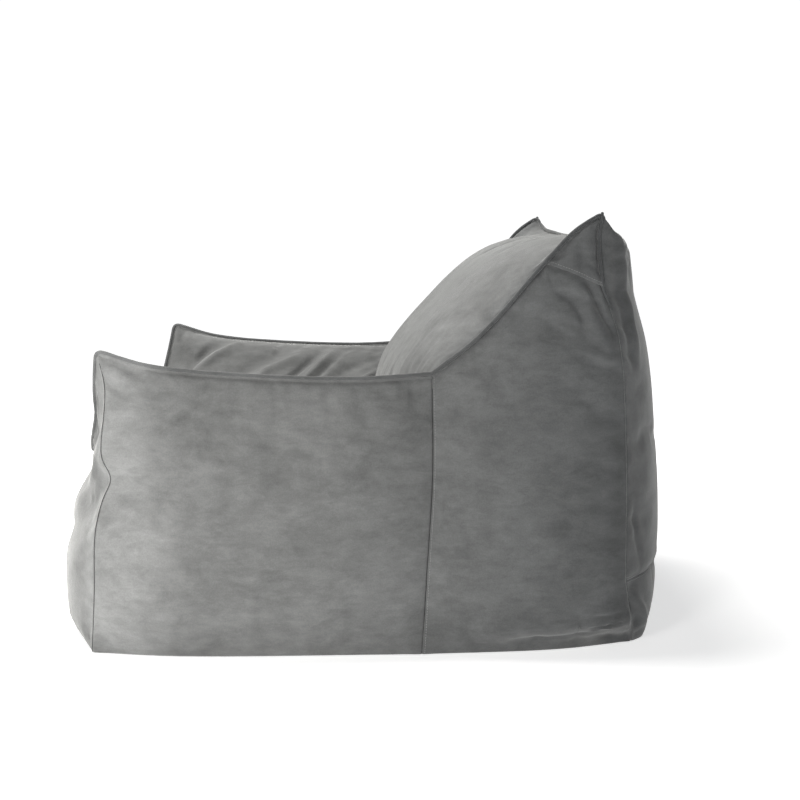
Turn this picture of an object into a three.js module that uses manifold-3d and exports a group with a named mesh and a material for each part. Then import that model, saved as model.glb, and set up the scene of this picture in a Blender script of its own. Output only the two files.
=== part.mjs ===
// Bean bag armchair: a velvet cover sewn from crowned panels over a bead-filled liner, with piping on
// its upper seams and a sliding zip low on the back. Millimetres, +Z up, the front towards -Y, and +X on
// the sitter's left. The origin is on the floor, under the middle of the chair.

import * as THREE from 'three';
import { mergeVertices } from 'three/addons/utils/BufferGeometryUtils.js';
import Module from 'manifold-3d';

const wasm = await Module();
wasm.setup();

// ---- driving dimensions ----

const SEAM_X = 424;            // the arm seams, from the middle plane
const EAR_X = 412;             // the four pointed corners, pulled in a little
const FRONT_Y = -470;          // front corner seams
const REAR_Y = 460;            // rear corner seams
const EAR_Z = 540;             // pointed front corners of the arms
const ARM_Z = 490;             // the arms' lowest stretch
const BACK_Z = 780;            // pointed corners of the back
const SEAT_Z = 350;            // the seat's creases
const CREASE_X = 255;          // where the seat meets the arms, from the middle plane
const FOLD_Y = 25;             // where the seat meets the backrest
const FRONT_REACH = 545;       // the front foot's middle, ahead of the origin
const REAR_REACH = 545;        // the rear foot's middle, behind the origin

const CLOTH = 2.5;             // velvet with its backing
const BASE_CLOTH = 2.5;        // coarse non-slip cloth under the chair
const FOOT_Z = 3;              // the panels' lower edges, just above the base cloth
const PLAIN_GAP = 0.25;        // from a plain seam to the panel's edge
const FOLD_GAP = 1.5;          // from the seam between arm and backrest to the panel's edge
const PIPED_GAP = 7;           // from a piped seam to the panel's edge
const EAR_GAP = 24;            // from the back's pointed corners to the yokes
const PIPING_R = 3.4;
const PIPING_OUT = 2.5;        // how far the piping's middle stands out of its seam

const LINER_DEPTH = [7.5, 8.7];  // the liner's outer and inner faces, below the cover's surface
const CLOSURE_DEPTH = [7.2, 9];
const LINER_SLOT = { width: 300, height: 6, z: 263 };
const FILL_DEPTH = 10;
const CORNER_DEPTH = 3;        // how many times deeper the liner and beads lie in the pointed corners
const PINCH = 28;              // how far the beads stay from where the arms meet the back
const BAFFLE = 1;              // the sheets between the liner's chambers
const GAP = 0.3;

const ZIP_Z = 130;
const ZIP_Y = 548;             // the cover's surface along the zip
const ZIP = { opening: 430, window: 18, coil: 406, coilHeight: 1.6, coilDepth: 1.8, teethGap: 1.6 };
const TAPE_THICK = 0.8;
const SLIDER = { length: 11, height: 8, plate: 1.2, web: 1, air: 0.3, at: 192 };

// how many cells each seam is divided into
const CELLS = { armFront: 4, seat: 6, arm: 9, slope: 5, yoke: 2, high: 3, height: 8, belowZip: 2 };

// ---- seams of the left half ----

const at = (x, y, z) => new THREE.Vector3(x, y, z);

function seam(cells, ...points) {
  return new THREE.CatmullRomCurve3(points, false, 'centripetal').getSpacedPoints(cells);
}

const mirrored = (points) => points.map((p) => at(-p.x, p.y, p.z));
const reversed = (points) => [...points].reverse();
const joined = (...runs) => runs.flatMap((run, k) => (k ? run.slice(1) : run));

// from the left point, through the middle, to its mirror image
const across = (half) => joined(half, reversed(mirrored(half)));

const frontEar = at(EAR_X, FRONT_Y, EAR_Z);
const backEar = at(EAR_X, 416, BACK_Z);
const kink = at(SEAM_X, 117, 497);
const yokeFront = at(SEAM_X - 6, 316, 693);
const yokeRear = at(SEAM_X - 5, 414, 657);
const zipEnd = at(SEAM_X - 2, REAR_Y + 2, ZIP_Z);
const frontFoot = at(398, -486, FOOT_Z);
const sideFoot = at(SEAM_X, 100, FOOT_Z);
const rearFoot = at(350, 486, FOOT_Z);
const creaseFront = at(CREASE_X, -511, SEAT_Z - 8);
const creaseBack = at(CREASE_X, FOLD_Y + 20, SEAT_Z + 22);

const armTop = seam(CELLS.arm, frontEar, at(SEAM_X, -376, 512), at(SEAM_X + 6, -153, 493),
  at(SEAM_X + 4, 0, ARM_Z), kink);
const slopeLow = seam(CELLS.slope, kink, at(SEAM_X - 1, 202, 565), yokeFront);
const slopeHigh = seam(CELLS.high, yokeFront, at(SEAM_X - 8, 366, 745), backEar);
const yokeHem = seam(CELLS.yoke, yokeFront, at(SEAM_X + 2, 366, 677), yokeRear);
const frontCorner = seam(CELLS.height, frontEar, at(SEAM_X, -454, 478), at(SEAM_X + 6, -461, 360),
  at(SEAM_X + 4, -457, 302), at(SEAM_X + 8, -472, 220), at(SEAM_X + 6, -475, 120), frontFoot);
const rearCornerHigh = seam(CELLS.high, backEar, at(SEAM_X - 9, 409, 732), yokeRear);
const rearCorner = seam(CELLS.height - CELLS.belowZip, yokeRear, at(SEAM_X - 2, 447, 557),
  at(SEAM_X + 4, REAR_Y, 360), zipEnd);
const rearCornerFoot = seam(CELLS.belowZip, zipEnd, at(SEAM_X - 34, REAR_Y + 18, 52), rearFoot);
const sideSeam = seam(CELLS.height, kink, at(SEAM_X + 18, 118, 330), at(SEAM_X + 20, 108, 150), sideFoot);
const footFrontSide = seam(CELLS.arm, frontFoot, at(SEAM_X + 2, -330, FOOT_Z), sideFoot);
const footRearSide = seam(CELLS.slope + CELLS.yoke, sideFoot, at(400, 340, FOOT_Z), rearFoot);
const armFront = seam(CELLS.armFront, frontEar, at(384, -479, 447), at(338, -491, 392), creaseFront);
const crease = seam(CELLS.arm, creaseFront, at(CREASE_X, -300, SEAT_Z + 6), at(CREASE_X, -100, SEAT_Z + 4),
  creaseBack);
const armBack = seam(CELLS.armFront, kink, at(352, 78, 430), creaseBack);

const halfWidth = CELLS.armFront + CELLS.seat / 2;
const seatFront = across(seam(CELLS.seat / 2, creaseFront, at(140, -532, 330), at(0, -546, 326)));
const seatBack = across(seam(CELLS.seat / 2, creaseBack, at(140, FOLD_Y + 4, SEAT_Z + 4),
  at(0, FOLD_Y, SEAT_Z)));
const backTop = across(seam(halfWidth, backEar, at(392, 424, 757), at(300, 440, 744), at(0, 446, 742)));
const zipSeam = across(seam(halfWidth, zipEnd, at(350, 509, ZIP_Z), at(298, 531, ZIP_Z),
  at(240, ZIP_Y - 1, ZIP_Z), at(175, ZIP_Y, ZIP_Z), at(0, ZIP_Y, ZIP_Z)));
const footFront = across(seam(halfWidth, frontFoot, at(250, -530, FOOT_Z), at(0, -FRONT_REACH, FOOT_Z)));
const footBack = across(seam(halfWidth, rearFoot, at(318, 512, FOOT_Z), at(240, 528, FOOT_Z),
  at(0, REAR_REACH - 8, FOOT_Z)));

const innerU = (half, middle) => joined(half, middle, reversed(mirrored(half)));
const frontTop = innerU(armFront, seatFront);
const backrestFoot = innerU(armBack, seatBack);

// ---- panels between the seams ----

// A Coons patch: rows run from `bottom` to `top`, columns from `left` to `right`.
function patch(bottom, top, left, right) {
  const columns = bottom.length - 1;
  const rows = left.length - 1;
  return left.map((_, j) => bottom.map((_, i) => {
    const s = i / columns;
    const t = j / rows;
    const point = at(0, 0, 0);
    point.addScaledVector(bottom[i], 1 - t).addScaledVector(top[i], t);
    point.addScaledVector(left[j], 1 - s).addScaledVector(right[j], s);
    point.addScaledVector(bottom[0], -(1 - s) * (1 - t)).addScaledVector(bottom[columns], -s * (1 - t));
    return point.addScaledVector(top[0], -(1 - s) * t).addScaledVector(top[columns], -s * t);
  }));
}

// Swells a patch along `push`, most near the share `peak` of its height, and not at all on its seams.
function crowned(grid, push, peak = 0.5, sharpness = 2.4) {
  const skew = Math.log(0.5) / Math.log(peak);
  const hump = (share) => 1 - Math.abs(2 * share - 1) ** sharpness;
  const rows = grid.length - 1;
  const columns = grid[0].length - 1;
  return grid.map((row, j) => row.map((p, i) => {
    const swell = hump(i / columns) * hump((j / rows) ** skew);
    return p.clone().addScaledVector(push, swell);
  }));
}

// Each panel has its patch, its gaps to the seams as [bottom, top, left, right], and `facing`, which is 1
// where the patch's cells are counter-clockwise from outside the chair. A gap that changes along its seam
// is a function of the seam point's number.
function sidePanels() {
  const armSide = crowned(patch(footFrontSide, armTop, reversed(frontCorner), reversed(sideSeam)),
    at(18, 0, 0), 0.42);
  const rearTop = joined(slopeLow, yokeHem);
  const rearEdge = joined(rearCorner, rearCornerFoot);
  const rearSide = crowned(patch(footRearSide, rearTop, reversed(sideSeam), reversed(rearEdge)),
    at(14, 0, 0), 0.42);
  const ear = yokeHem.map(() => backEar);
  const yoke = crowned(patch(yokeHem, ear, slopeHigh, reversed(rearCornerHigh)), at(5, 0, 0), 0.4);
  const innerArm = crowned(patch(armTop, crease, armFront, armBack), at(-46, 0, 52), 0.42);
  const besideYoke = (i) => (i > CELLS.slope ? PLAIN_GAP : PIPED_GAP);
  return {
    arm_side_panel: { grid: armSide, gaps: [PLAIN_GAP, PIPED_GAP, PLAIN_GAP, PLAIN_GAP], facing: 1 },
    rear_side_panel: { grid: rearSide, gaps: [PLAIN_GAP, besideYoke, PLAIN_GAP, PLAIN_GAP], facing: 1 },
    corner_yoke: { grid: yoke, gaps: [PLAIN_GAP, EAR_GAP, PIPED_GAP, PIPED_GAP], facing: 1 },
    inner_arm_panel: { grid: innerArm, gaps: [PIPED_GAP, PLAIN_GAP, PIPED_GAP, FOLD_GAP], facing: 1 },
  };
}

function middlePanels() {
  const slope = joined(slopeLow, slopeHigh);
  const rearUpper = joined(rearCornerHigh, rearCorner);
  const front = patch(footFront, frontTop, reversed(frontCorner), mirrored(reversed(frontCorner)));
  const seat = patch(seatFront, seatBack, crease, mirrored(crease));
  const backrest = patch(backrestFoot, backTop, slope, mirrored(slope));
  const back = patch(zipSeam, backTop, reversed(rearUpper), mirrored(reversed(rearUpper)));
  const backLower = patch(footBack, zipSeam, reversed(rearCornerFoot), mirrored(reversed(rearCornerFoot)));
  const besideRear = (j) => (j > CELLS.height - CELLS.belowZip ? PIPED_GAP : PLAIN_GAP);
  return {
    front_panel: {
      grid: crowned(front, at(0, -46, 0), 0.36),
      gaps: [PLAIN_GAP, PIPED_GAP, PLAIN_GAP, PLAIN_GAP],
      facing: -1,
    },
    seat_panel: {
      grid: crowned(seat, at(0, 0, 34)),
      gaps: [PIPED_GAP, PLAIN_GAP, PLAIN_GAP, PLAIN_GAP],
      facing: -1,
    },
    backrest_panel: {
      grid: crowned(backrest, at(0, -80, 86), 0.42, 2.8),
      gaps: [FOLD_GAP, PIPED_GAP, PIPED_GAP, PIPED_GAP],
      facing: -1,
    },
    back_panel: {
      grid: crowned(back, at(0, 18, 0), 0.36),
      gaps: [PLAIN_GAP, PIPED_GAP, besideRear, besideRear],
      facing: 1,
    },
    back_lower_panel: {
      grid: crowned(backLower, at(0, 8, 0), 0.6),
      gaps: [PLAIN_GAP, PLAIN_GAP, PLAIN_GAP, PLAIN_GAP],
      facing: 1,
    },
  };
}

const turnedOver = (triangles) => [...triangles].map(([a, b, c]) => [a, c, b]);

// Triangles of a grid, given as triples of its points.
function cells(grid) {
  const triangles = [];
  for (let j = 0; j + 1 < grid.length; j++) {
    for (let i = 0; i + 1 < grid[j].length; i++) {
      const [a, b, c, d] = [grid[j][i], grid[j][i + 1], grid[j + 1][i + 1], grid[j + 1][i]];
      triangles.push([a, b, c], [a, c, d]);
    }
  }
  return triangles;
}

const facingOut = (triangles, facing) => (facing > 0 ? triangles : turnedOver(triangles));

function allPanels() {
  const panels = middlePanels();
  for (const [name, panel] of Object.entries(sidePanels())) {
    panels[`${name}_left`] = panel;
    panels[`${name}_right`] = { ...panel, grid: panel.grid.map(mirrored), facing: -panel.facing };
  }
  return panels;
}

const panels = allPanels();

// the outline of the chair's foot, counter-clockwise from above
const leftFoot = joined(reversed(footRearSide), reversed(footFrontSide));
const footLoop = joined(
  reversed(footFront), reversed(leftFoot), footBack, mirrored(leftFoot),
).slice(1);

function footCells() {
  const flat = footLoop.map((p) => new THREE.Vector2(p.x, p.y));
  return THREE.ShapeUtils.triangulateShape(flat, []).map(([a, b, c]) =>
    [footLoop[a], footLoop[c], footLoop[b]]);
}

// ---- the closed surface, and layers under it ----

const keyOf = (p) => `${p.x.toFixed(2)},${p.y.toFixed(2)},${p.z.toFixed(2)}`;

function closedSurface() {
  const cover = Object.values(panels).flatMap(({ grid, facing }) => facingOut(cells(grid), facing));
  return [...cover, ...footCells()];
}

// Angle-weighted normals of the closed surface, by place.
function surfaceNormals() {
  const normals = new Map();
  for (const corners of closedSurface()) {
    const face = new THREE.Triangle(...corners);
    if (face.getArea() < 1e-6) continue;
    const normal = face.getNormal(at(0, 0, 0));
    corners.forEach((corner, k) => {
      const one = corners[(k + 1) % 3].clone().sub(corner);
      const other = corners[(k + 2) % 3].clone().sub(corner);
      const key = keyOf(corner);
      if (!normals.has(key)) normals.set(key, at(0, 0, 0));
      normals.get(key).addScaledVector(normal, one.angleTo(other));
    });
  }
  for (const normal of normals.values()) normal.normalize();
  return normals;
}

const normals = surfaceNormals();
const normalAt = (p) => normals.get(keyOf(p));
const sunk = (p, depth, normal = normalAt(p)) => p.clone().addScaledVector(normal, -depth);

function geometryOf(triangles) {
  const positions = [];
  for (const corners of triangles) {
    if (new THREE.Triangle(...corners).getArea() < 1e-6) continue;
    for (const p of corners) positions.push(p.x, p.y, p.z);
  }
  const geometry = new THREE.BufferGeometry();
  geometry.setAttribute('position', new THREE.Float32BufferAttribute(positions, 3));
  return geometry;
}

// A panel's cloth: its patch, drawn back from the seams, with the cloth's thickness under it.
function clothOf({ grid, gaps, facing }) {
  const [bottom, top, left, right] = gaps.map((gap) => (typeof gap === 'function' ? gap : () => gap));
  const toward = (from, to, gap) => {
    const step = to.clone().sub(from);
    return from.clone().addScaledVector(step.normalize(), gap);
  };
  const last = grid[0].length - 1;
  const end = grid.length - 1;
  const outer = grid.map((row, j) => row.map((p, i) => {
    if (i === 0 && row[1].distanceTo(p) > 1) return toward(p, row[1], left(j));
    if (i === last && row[i - 1].distanceTo(p) > 1) return toward(p, row[i - 1], right(j));
    return p.clone();
  }));
  outer[0] = outer[0].map((p, i) => toward(p, outer[1][i], bottom(i)));
  outer[end] = outer[end].map((p, i) => toward(p, outer[end - 1][i], top(i)));
  const inner = outer.map((row, j) => row.map((p, i) => sunk(p, CLOTH, normalAt(grid[j][i]))));
  const wall = (edge, under) => cells([under, edge]);
  const column = (rows, i) => rows.map((row) => row[i]);
  return geometryOf(facingOut([
    ...cells(outer),
    ...turnedOver(cells(inner)),
    ...wall(outer[0], inner[0]),
    ...wall(reversed(outer[end]), reversed(inner[end])),
    ...wall(column(outer, last), column(inner, last)),
    ...wall(reversed(column(outer, 0)), reversed(column(inner, 0))),
  ], facing));
}

// ---- solids and booleans ----

function solidOf(geometry) {
  const bare = geometry.clone();
  bare.deleteAttribute('normal');
  bare.deleteAttribute('uv');
  const welded = mergeVertices(bare, 1e-3);
  return new wasm.Manifold(new wasm.Mesh({
    numProp: 3,
    vertProperties: new Float32Array(welded.attributes.position.array),
    triVerts: new Uint32Array(welded.index.array),
  }));
}

function geometryFrom(solid) {
  const { vertProperties, triVerts, numProp } = solid.getMesh();
  const geometry = new THREE.BufferGeometry();
  const positions = new Float32Array(triVerts.length * 3);
  triVerts.forEach((v, k) => {
    for (let axis = 0; axis < 3; axis++) positions[3 * k + axis] = vertProperties[v * numProp + axis];
  });
  geometry.setAttribute('position', new THREE.BufferAttribute(positions, 3));
  return geometry;
}

// a box from its lowest and highest corners
function block(low, high) {
  const size = high.clone().sub(low);
  const middle = low.clone().add(high).multiplyScalar(0.5);
  return new THREE.BoxGeometry(size.x, size.y, size.z).translate(middle.x, middle.y, middle.z);
}

// the closed surface sunk by `depth`, and further in the pointed corners, which stay empty
function layerAt(depth) {
  const pointed = new Set([frontEar, backEar].flatMap((p) => [keyOf(p), keyOf(at(-p.x, p.y, p.z))]));
  const sink = (p) => sunk(p, depth * (pointed.has(keyOf(p)) ? CORNER_DEPTH : 1));
  return solidOf(geometryOf(closedSurface().map((corners) => corners.map(sink))));
}

// ---- piping ----

// A path straight from one seam point to the next, so that the piping follows the panels' edges.
class SeamPath extends THREE.Curve {
  constructor(points) {
    super();
    this.points = points;
  }

  getPoint(share) {
    const along = Math.min(share, 1) * (this.points.length - 1);
    const k = Math.min(Math.floor(along + 1e-9), this.points.length - 2);
    return this.points[k].clone().lerp(this.points[k + 1], along - k);
  }

  getPointAt(share) {
    return this.getPoint(share);
  }

  getTangentAt(share) {
    const reach = 0.5 / (this.points.length - 1);
    const ahead = this.getPoint(Math.min(share + reach, 1));
    return ahead.sub(this.getPoint(Math.max(share - reach, 0))).normalize();
  }
}

function pipingGeometry(seamPoints) {
  const raised = seamPoints.map((p) => sunk(p, -PIPING_OUT));
  const [first, last] = [0, raised.length - 1];
  const trim = 3 * PIPING_R;
  const trimmed = (end, next) => raised[end].clone().lerp(raised[next],
    trim / raised[end].distanceTo(raised[next]));
  const path = [trimmed(first, 1), ...raised.slice(1, -1), trimmed(last, last - 1)];
  const section = new THREE.Shape(new THREE.Path().absarc(0, 0, PIPING_R, 0, 2 * Math.PI).getPoints(4));
  return new THREE.ExtrudeGeometry(section, {
    steps: path.length - 1, extrudePath: new SeamPath(path), bevelEnabled: false,
  });
}

// ---- materials ----

const finish = (color, roughness, metalness = 0) =>
  new THREE.MeshStandardMaterial({ color, roughness, metalness });

const velvet = () => finish(0x7c7e7d, 0.85);
const velvetPiping = () => finish(0x6a6c6b, 0.8);
const baseCloth = () => finish(0x2e2f31, 0.95);
const linerCloth = () => finish(0xdedbd2, 0.9);
const beads = () => finish(0xf4f4f1, 0.7);
const zipTape = () => finish(0x55585a, 0.9);
const zipCoil = () => finish(0x3f4245, 0.45);
const zipMetal = () => finish(0x8b8e92, 0.3, 1);

const chair = new THREE.Group();

function add(name, geometry, material) {
  const mesh = new THREE.Mesh(geometry, material);
  mesh.name = name;
  chair.add(mesh);
  return mesh;
}

// ---- the cover ----

const zipWindow = solidOf(block(
  at(-ZIP.opening / 2, ZIP_Y - 60, ZIP_Z - ZIP.window / 2),
  at(ZIP.opening / 2, ZIP_Y + 60, ZIP_Z + ZIP.window / 2),
));

function addCover() {
  for (const [name, panel] of Object.entries(panels)) {
    const cloth = clothOf(panel);
    const besideZip = name === 'back_panel' || name === 'back_lower_panel';
    add(name, besideZip ? geometryFrom(solidOf(cloth).subtract(zipWindow)) : cloth, velvet());
  }
  const outline = new THREE.Shape(footLoop.map((p) => new THREE.Vector2(p.x, p.y)));
  add('base_panel', new THREE.ExtrudeGeometry(outline, { depth: BASE_CLOTH, bevelEnabled: false }),
    baseCloth());
}

function addPiping() {
  const armAndSlope = joined(armTop, slopeLow, slopeHigh);
  add('side_piping_left', pipingGeometry(armAndSlope), velvetPiping());
  add('side_piping_right', pipingGeometry(mirrored(armAndSlope)), velvetPiping());
  add('front_piping', pipingGeometry(frontTop), velvetPiping());
  add('back_top_piping', pipingGeometry(backTop), velvetPiping());
  add('rear_corner_piping_left', pipingGeometry(rearCornerHigh), velvetPiping());
  add('rear_corner_piping_right', pipingGeometry(mirrored(rearCornerHigh)), velvetPiping());
}

// ---- the zip ----

function addZip() {
  const middleY = ZIP_Y - ZIP.coilDepth / 2 - 0.1;
  const coilFoot = ZIP.teethGap / 2;
  const coilTop = coilFoot + ZIP.coilHeight;
  const tapeEnd = ZIP.opening / 2 - 0.5;
  for (const [side, sign] of [['upper', 1], ['lower', -1]]) {
    const strip = (halfLength, from, to, depth) => {
      const [low, high] = [sign * from, sign * to].sort((a, b) => a - b);
      return block(at(-halfLength, middleY - depth / 2, ZIP_Z + low),
        at(halfLength, middleY + depth / 2, ZIP_Z + high));
    };
    add(`zip_coil_${side}`, strip(ZIP.coil / 2, coilFoot, coilTop, ZIP.coilDepth), zipCoil());
    add(`zip_tape_${side}`, strip(tapeEnd, coilTop + GAP, ZIP.window / 2 - GAP, TAPE_THICK), zipTape());
  }
  for (const [end, sign] of [['closed', 1], ['open', -1]]) {
    const inside = ZIP.coil / 2 + GAP;
    const [low, high] = [sign * inside, sign * (inside + 3)].sort((a, b) => a - b);
    add(`zip_stop_${end}`, block(at(low, middleY - 1.2, ZIP_Z - coilTop), at(high, middleY + 1.2,
      ZIP_Z + coilTop)), zipMetal());
  }
  add('zip_slider', sliderGeometry(), zipMetal()).position.set(SLIDER.at, middleY, ZIP_Z);
}

// An I section: two plates that hold the coils between them, and the web that parts the coils.
function sliderGeometry() {
  const inside = ZIP.coilDepth / 2 + SLIDER.air;
  const outside = inside + SLIDER.plate;
  const half = SLIDER.height / 2;
  const web = SLIDER.web / 2;
  const quarter = [[web, inside], [half, inside], [half, outside]];
  const corners = [
    ...quarter,
    ...quarter.map(([z, y]) => [-z, y]).reverse(),
    ...quarter.map(([z, y]) => [-z, -y]),
    ...quarter.map(([z, y]) => [z, -y]).reverse(),
  ].map(([z, y]) => new THREE.Vector2(z, y));
  return new THREE.ExtrudeGeometry(new THREE.Shape(corners), { depth: SLIDER.length, bevelEnabled: false })
    .translate(0, 0, -SLIDER.length / 2).rotateY(Math.PI / 2);
}

// ---- the liner and its beads ----

const FAR = 900;

function addLiner() {
  const slot = (air) => solidOf(block(
    at(-LINER_SLOT.width / 2 + air, 300, LINER_SLOT.z - LINER_SLOT.height / 2 + air),
    at(LINER_SLOT.width / 2 - air, FAR, LINER_SLOT.z + LINER_SLOT.height / 2 - air),
  ));
  const shell = (depths) => layerAt(depths[0]).subtract(layerAt(depths[1]));
  add('liner', geometryFrom(shell(LINER_DEPTH).subtract(slot(0))), linerCloth());
  add('liner_closure', geometryFrom(shell(CLOSURE_DEPTH).intersect(slot(GAP))), zipTape());
}

// the tight corner where an arm meets the back, which no beads reach
function pinched(corner) {
  const reach = at(PINCH, PINCH, PINCH);
  return solidOf(block(corner.clone().sub(reach), corner.clone().add(reach)));
}

function addChambers() {
  const inside = layerAt(FILL_DEPTH).subtract(pinched(kink)).subtract(pinched(mirrored([kink])[0]));
  const half = BAFFLE / 2;
  const chamber = (low, high) => geometryFrom(inside.intersect(solidOf(block(low, high))));
  const wallX = CREASE_X + 8;
  const near = half + GAP;
  add('seat_beads', chamber(at(-wallX + near, -FAR, -1), at(wallX - near, -near, FAR)), beads());
  add('arm_beads_left', chamber(at(wallX + near, -FAR, -1), at(FAR, -near, FAR)), beads());
  add('arm_beads_right', chamber(at(-FAR, -FAR, -1), at(-wallX - near, -near, FAR)), beads());
  add('back_beads', chamber(at(-FAR, near, -1), at(FAR, FAR, FAR)), beads());
  add('back_baffle', chamber(at(-FAR, -half, -1), at(FAR, half, FAR)), linerCloth());
  add('arm_baffle_left', chamber(at(wallX - half, -FAR, -1), at(wallX + half, -near, FAR)), linerCloth());
  add('arm_baffle_right', chamber(at(-wallX - half, -FAR, -1), at(-wallX + half, -near, FAR)), linerCloth());
}

addCover();
addPiping();
addZip();
addLiner();
addChambers();

// The front swells further than the back, so the whole chair moves to stand evenly over the origin.
chair.position.y = -new THREE.Box3().setFromObject(chair).getCenter(at(0, 0, 0)).y;

export default chair;
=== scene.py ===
"""The looks of a velvet bean bag armchair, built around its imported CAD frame.

The cover's panels lie between the same seams as the CAD panels, at a finer pitch. A cloth simulation
swells them between their seams, then folds, sunk seams, stitching and piping are added in mesh code.
Everything is in metres, with the front of the seat towards -Y and +X on the sitter's left.
"""
import copy
import math

import bpy
import numpy as np
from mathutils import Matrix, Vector
from mathutils.kdtree import KDTree


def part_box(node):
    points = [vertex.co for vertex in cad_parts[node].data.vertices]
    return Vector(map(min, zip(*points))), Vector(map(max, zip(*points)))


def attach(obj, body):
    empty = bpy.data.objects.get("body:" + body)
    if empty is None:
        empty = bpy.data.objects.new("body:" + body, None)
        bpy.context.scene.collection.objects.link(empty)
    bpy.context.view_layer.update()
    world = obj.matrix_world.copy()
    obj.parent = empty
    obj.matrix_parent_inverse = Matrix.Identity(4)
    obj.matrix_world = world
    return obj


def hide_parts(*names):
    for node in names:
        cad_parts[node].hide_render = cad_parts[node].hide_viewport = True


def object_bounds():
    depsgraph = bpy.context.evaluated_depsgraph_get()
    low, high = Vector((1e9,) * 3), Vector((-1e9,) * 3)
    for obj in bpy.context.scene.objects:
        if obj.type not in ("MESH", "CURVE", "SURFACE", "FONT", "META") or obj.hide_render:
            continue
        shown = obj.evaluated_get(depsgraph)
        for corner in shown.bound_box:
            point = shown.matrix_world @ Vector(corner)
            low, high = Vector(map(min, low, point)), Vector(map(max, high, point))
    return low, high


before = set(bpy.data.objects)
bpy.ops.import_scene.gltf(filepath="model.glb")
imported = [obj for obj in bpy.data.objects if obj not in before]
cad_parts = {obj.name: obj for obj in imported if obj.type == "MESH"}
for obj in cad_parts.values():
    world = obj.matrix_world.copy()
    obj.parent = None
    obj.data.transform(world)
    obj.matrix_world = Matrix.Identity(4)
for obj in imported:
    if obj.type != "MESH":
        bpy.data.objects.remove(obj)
cad_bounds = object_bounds()
BODY = "chair"
SIDES = {"left": np.array([1, 1, 1]), "right": np.array([-1, 1, 1])}

MM = 0.001

# ---- dimensions of the cover, as the CAD frame has them ----

FRONT_REACH = 545 * MM
SEAM_X, EAR_X, EAR_Y = 424 * MM, 412 * MM, 416 * MM
FRONT_Y, REAR_Y = -470 * MM, 460 * MM
EAR_Z, BACK_Z, SEAT_Z = 540 * MM, 780 * MM, 350 * MM
CREASE_X, FOLD_Y = 255 * MM, 25 * MM
FOOT_Z, ZIP_Z, ZIP_Y = 3 * MM, 130 * MM, 548 * MM
ZIP_OPENING = 430 * MM
SHIFT_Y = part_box("base_panel")[0][1] + FRONT_REACH
# cells of the CAD panels along each run of seams
CELLS = {"arm_front": 4, "seat": 6, "arm": 9, "slope": 5, "yoke": 2, "high": 3, "height": 8, "below_zip": 2}

SIM_PITCH = 12 * MM            # of the simulated cloth
FINE_PITCH = 5 * MM            # of the finished panels
CELL = 60 * MM                 # one CAD cell, about
CLOTH = 2.2 * MM
CAP = 10 * MM                  # how far the simulation may move a point
SIM_STEPS = 26
WELD = 0.2 * MM                # points nearer than this are one
PIPING_R = 3.4 * MM
REAR_PIPING = 185 * MM         # length of the piping down a rear corner
PATH_PITCH = 3 * MM            # of the points along a piping or a seam


# ---- shared measures ----

def path_lengths(path):
    """How far along the path each of its points is."""
    return np.concatenate([[0], np.cumsum(np.linalg.norm(np.diff(path, axis=0), axis=1))])


def at_lengths(at, along, values):
    """Points or directions at some lengths along a path, from those at the path's own lengths."""
    return np.stack([np.interp(at, along, values[:, a]) for a in range(3)], -1)


def unit(vectors):
    return vectors / np.maximum(np.linalg.norm(vectors, axis=-1, keepdims=True), 1e-9)


def bell(away, reach):
    """1 at no distance, falling smoothly to 0 at about twice the reach."""
    return np.exp(-(away / reach) ** 2)


def near_to(points, place, reach):
    return bell(np.linalg.norm(points - place, axis=-1), reach)


# ---- seams ----

def seam(*points):
    """A centripetal Catmull-Rom curve through points in millimetres, by the share of its length."""
    p = np.array(points, float) * MM + [0, SHIFT_Y, 0]
    p = np.vstack([2 * p[0] - p[1], p, 2 * p[-1] - p[-2]])
    knots = np.concatenate([[0], np.cumsum(np.sqrt(np.linalg.norm(np.diff(p, axis=0), axis=1)))])
    runs = []
    for k in range(1, len(p) - 2):
        t = np.linspace(knots[k], knots[k + 1], 60, endpoint=False)[:, None]

        def mix(a, b, i, j):
            return ((knots[j] - t) * a + (t - knots[i]) * b) / (knots[j] - knots[i])

        one = mix(p[k - 1], p[k], k - 1, k)
        two = mix(p[k], p[k + 1], k, k + 1)
        three = mix(p[k + 1], p[k + 2], k + 1, k + 2)
        runs.append(mix(mix(one, two, k - 1, k + 1), mix(two, three, k, k + 2), k, k + 1))
    dense = np.vstack([*runs, p[-2:-1]])
    along = path_lengths(dense)
    along /= along[-1]
    return lambda share: at_lengths(share, along, dense)


def backward(curve):
    return lambda share: curve(1 - np.asarray(share))


def mirrored(shape):
    """A curve or a surface, turned over to the other side."""
    return lambda *shares: shape(*shares) * SIDES["right"]


def joined(*runs):
    """One curve from (curve, cells) runs laid end to end."""
    ends = np.cumsum([cells for _, cells in runs])

    def at(share):
        cell = np.asarray(share, float) * ends[-1]
        out = np.zeros((len(cell), 3))
        for (curve, cells), end in zip(runs, ends):
            inside = (cell >= end - cells - 1e-9) & (cell <= end + 1e-9)
            out[inside] = curve(np.clip((cell[inside] - end + cells) / cells, 0, 1))
        return out

    return at


def across(half):
    """A curve from the left side to the right, from its left half."""
    return joined((half, 1), (backward(mirrored(half)), 1))


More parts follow.
